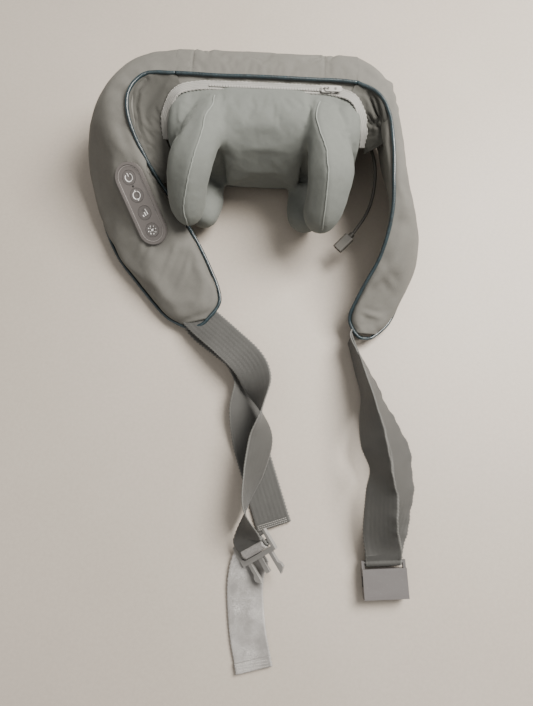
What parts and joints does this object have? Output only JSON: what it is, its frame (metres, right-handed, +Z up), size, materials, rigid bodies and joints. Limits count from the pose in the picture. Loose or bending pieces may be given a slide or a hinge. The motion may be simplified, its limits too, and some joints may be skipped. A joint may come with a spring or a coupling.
{
  "type": "shiatsu neck massager",
  "caption": "U-shaped padded shawl massager with sleeved kneading hands on a motorised module, a control panel with round keys, webbing straps with a side-release buckle and a charging lead.",
  "frame": {"origin": "on the resting plane, under the middle of the kneading module", "axes": "+Z up, +Y towards the back of the collar, -Y towards the open end of the U and the straps, +X to the right seen from above with the opening nearest"},
  "size_m": [0.3936, 0.681, 0.125],
  "materials": {
    "knit_grey": "smooth stretch cover",
    "knit_light": "thin stretch knit",
    "piping": "glossy coated cord",
    "zip_tape": "woven tape",
    "zip_coil": "moulded",
    "zip_metal": "polished",
    "filling": "polyester wadding",
    "housing": "moulded",
    "gear_housing": "moulded",
    "wheel_nylon": "moulded nylon",
    "hand_plastic": "moulded",
    "pad_silicone": "soft silicone",
    "steel": "turned",
    "brass": "machined",
    "board": "solder mask",
    "board_parts": "moulded",
    "cell_wrap": "shrink wrap",
    "heater": "polyimide film",
    "wire": "insulated wire",
    "panel": "satin",
    "key": "satin",
    "lead_rubber": "satin",
    "contacts": "plated",
    "webbing": "woven webbing",
    "buckle": "moulded acetal"
  },
  "bodies": {
    "module": {"front_shell": "housing", "rear_shell": "housing", "screws": "steel", "gearbox_left": "gear_housing", "gearbox_right": "gear_housing", "motor_can": "steel", "motor_end_cap": "housing", "shaft_bushes": "brass", "limit_guides": "housing", "battery_cells": "cell_wrap", "battery_holder": "housing", "main_board": "board", "board_parts": "board_parts", "heater_film": "heater", "wiring_harness": "wire", "rear_foam": "filling", "base_cover": "knit_grey", "cover_centre": "knit_grey", "piping_centre": "piping", "inner_lining": "knit_grey", "module_cover": "knit_light", "zip_tape": "zip_tape", "zip_teeth": "zip_coil", "lead_grommet": "lead_rubber"},
    "rotor": {"motor_shaft": "steel", "worm": "brass"},
    "main_shaft": {"drive_shaft": "steel", "worm_wheel": "wheel_nylon", "hub_left": "steel", "hub_right": "steel", "hub_bearings": "steel"},
    "left_hand": {"hand_left": "hand_plastic", "finger_pads_left": "pad_silicone", "sleeves_left": "knit_light"},
    "right_hand": {"hand_right": "hand_plastic", "finger_pads_right": "pad_silicone", "sleeves_right": "knit_light"},
    "left_lobe": {"cover_left": "knit_grey", "filling_left": "filling", "piping_left": "piping", "panel_tray": "housing", "panel_board": "board", "panel_bezel": "panel"},
    "right_lobe": {"cover_right": "knit_grey", "filling_right": "filling", "piping_right": "piping"},
    "power_key": {"button_power": "key"},
    "direction_key": {"button_direction": "key"},
    "speed_key": {"button_speed": "key"},
    "heat_key": {"button_heat": "key"},
    "left_strap": {"strap_left": "webbing", "strap_left_lower": "webbing"},
    "male_buckle": {"buckle_male": "buckle"},
    "right_strap": {"strap_right": "webbing"},
    "female_buckle": {"buckle_female": "buckle"},
    "lead": {"charge_cable": "lead_rubber", "charge_plug": "lead_rubber", "plug_contacts": "contacts"},
    "zip_runner": {"zip_slider": "zip_metal"},
    "zip_tab": {"zip_pull": "zip_metal"}
  },
  "joints": [
    {"name": "shaft_turn", "type": "hinge", "parent": "module", "child": "main_shaft", "pos_m": [0, 0.014, 0.06], "axis": [1, 0, 0], "continuous": true},
    {"name": "rotor_turn", "type": "hinge", "parent": "module", "child": "rotor", "pos_m": [0, 0.014, 0.0895], "axis": [0, 1, 0], "continuous": true},
    {"name": "left_knead", "type": "hinge", "parent": "module", "child": "left_hand", "pos_m": [-0.062, 0.014, 0.06], "axis": [0, 0, 1], "range_deg": [-3, 13]},
    {"name": "right_knead", "type": "hinge", "parent": "module", "child": "right_hand", "pos_m": [0.062, 0.014, 0.06], "axis": [0, 0, 1], "range_deg": [-3, 13]},
    {"name": "left_spread", "type": "hinge", "parent": "module", "child": "left_lobe", "pos_m": [-0.098, 0.102, 0.06], "axis": [0, 0, 1], "range_deg": [-12, 0]},
    {"name": "right_spread", "type": "hinge", "parent": "module", "child": "right_lobe", "pos_m": [0.098, 0.102, 0.06], "axis": [0, 0, 1], "range_deg": [0, 12]},
    {"name": "power_press", "type": "slide", "parent": "left_lobe", "child": "power_key", "axis": [-0.1642, -0.5354, 0.8285], "range_m": [-0.0008, 0]},
    {"name": "direction_press", "type": "slide", "parent": "left_lobe", "child": "direction_key", "axis": [-0.1642, -0.5354, 0.8285], "range_m": [-0.0008, 0]},
    {"name": "speed_press", "type": "slide", "parent": "left_lobe", "child": "speed_key", "axis": [-0.1642, -0.5354, 0.8285], "range_m": [-0.0008, 0]},
    {"name": "heat_press", "type": "slide", "parent": "left_lobe", "child": "heat_key", "axis": [-0.1642, -0.5354, 0.8285], "range_m": [-0.0008, 0]},
    {"name": "left_strap_lift", "type": "hinge", "parent": "left_lobe", "child": "left_strap", "pos_m": [-0.057, -0.205, 0.02], "axis": [-0.76, -0.65, 0], "range_deg": [0, 60]},
    {"name": "male_buckle_tilt", "type": "hinge", "parent": "left_strap", "child": "male_buckle", "pos_m": [0.014, -0.446, 0.02], "axis": [-0.6872, -0.4799, -0.5454], "range_deg": [-5, 40]},
    {"name": "right_strap_lift", "type": "hinge", "parent": "right_lobe", "child": "right_strap", "pos_m": [0.128, -0.207, 0.036], "axis": [-1, 0, 0], "range_deg": [0, 60]},
    {"name": "female_buckle_tilt", "type": "hinge", "parent": "right_strap", "child": "female_buckle", "pos_m": [0.15, -0.454, 0.011], "axis": [-0.996, -0.0896, 0], "range_deg": [-5, 35]},
    {"name": "lead_swing", "type": "hinge", "parent": "module", "child": "lead", "pos_m": [0.109, 0.012, 0.07], "axis": [0, 0, 1], "range_deg": [-3, 3]},
    {"name": "zip_slide", "type": "slide", "parent": "module", "child": "zip_runner", "axis": [1, 0, 0], "range_m": [-0.12, 0]},
    {"name": "tab_flip", "type": "hinge", "parent": "zip_runner", "child": "zip_tab", "pos_m": [0.065, 0.036, 0.12235], "axis": [0, -1, 0], "range_deg": [0, 100]}
  ],
  "couplings": [
    {"joint": "shaft_turn", "follows": "rotor_turn", "ratio": -0.033333},
    {"joint": "right_knead", "follows": "left_knead", "ratio": 1}
  ]
}
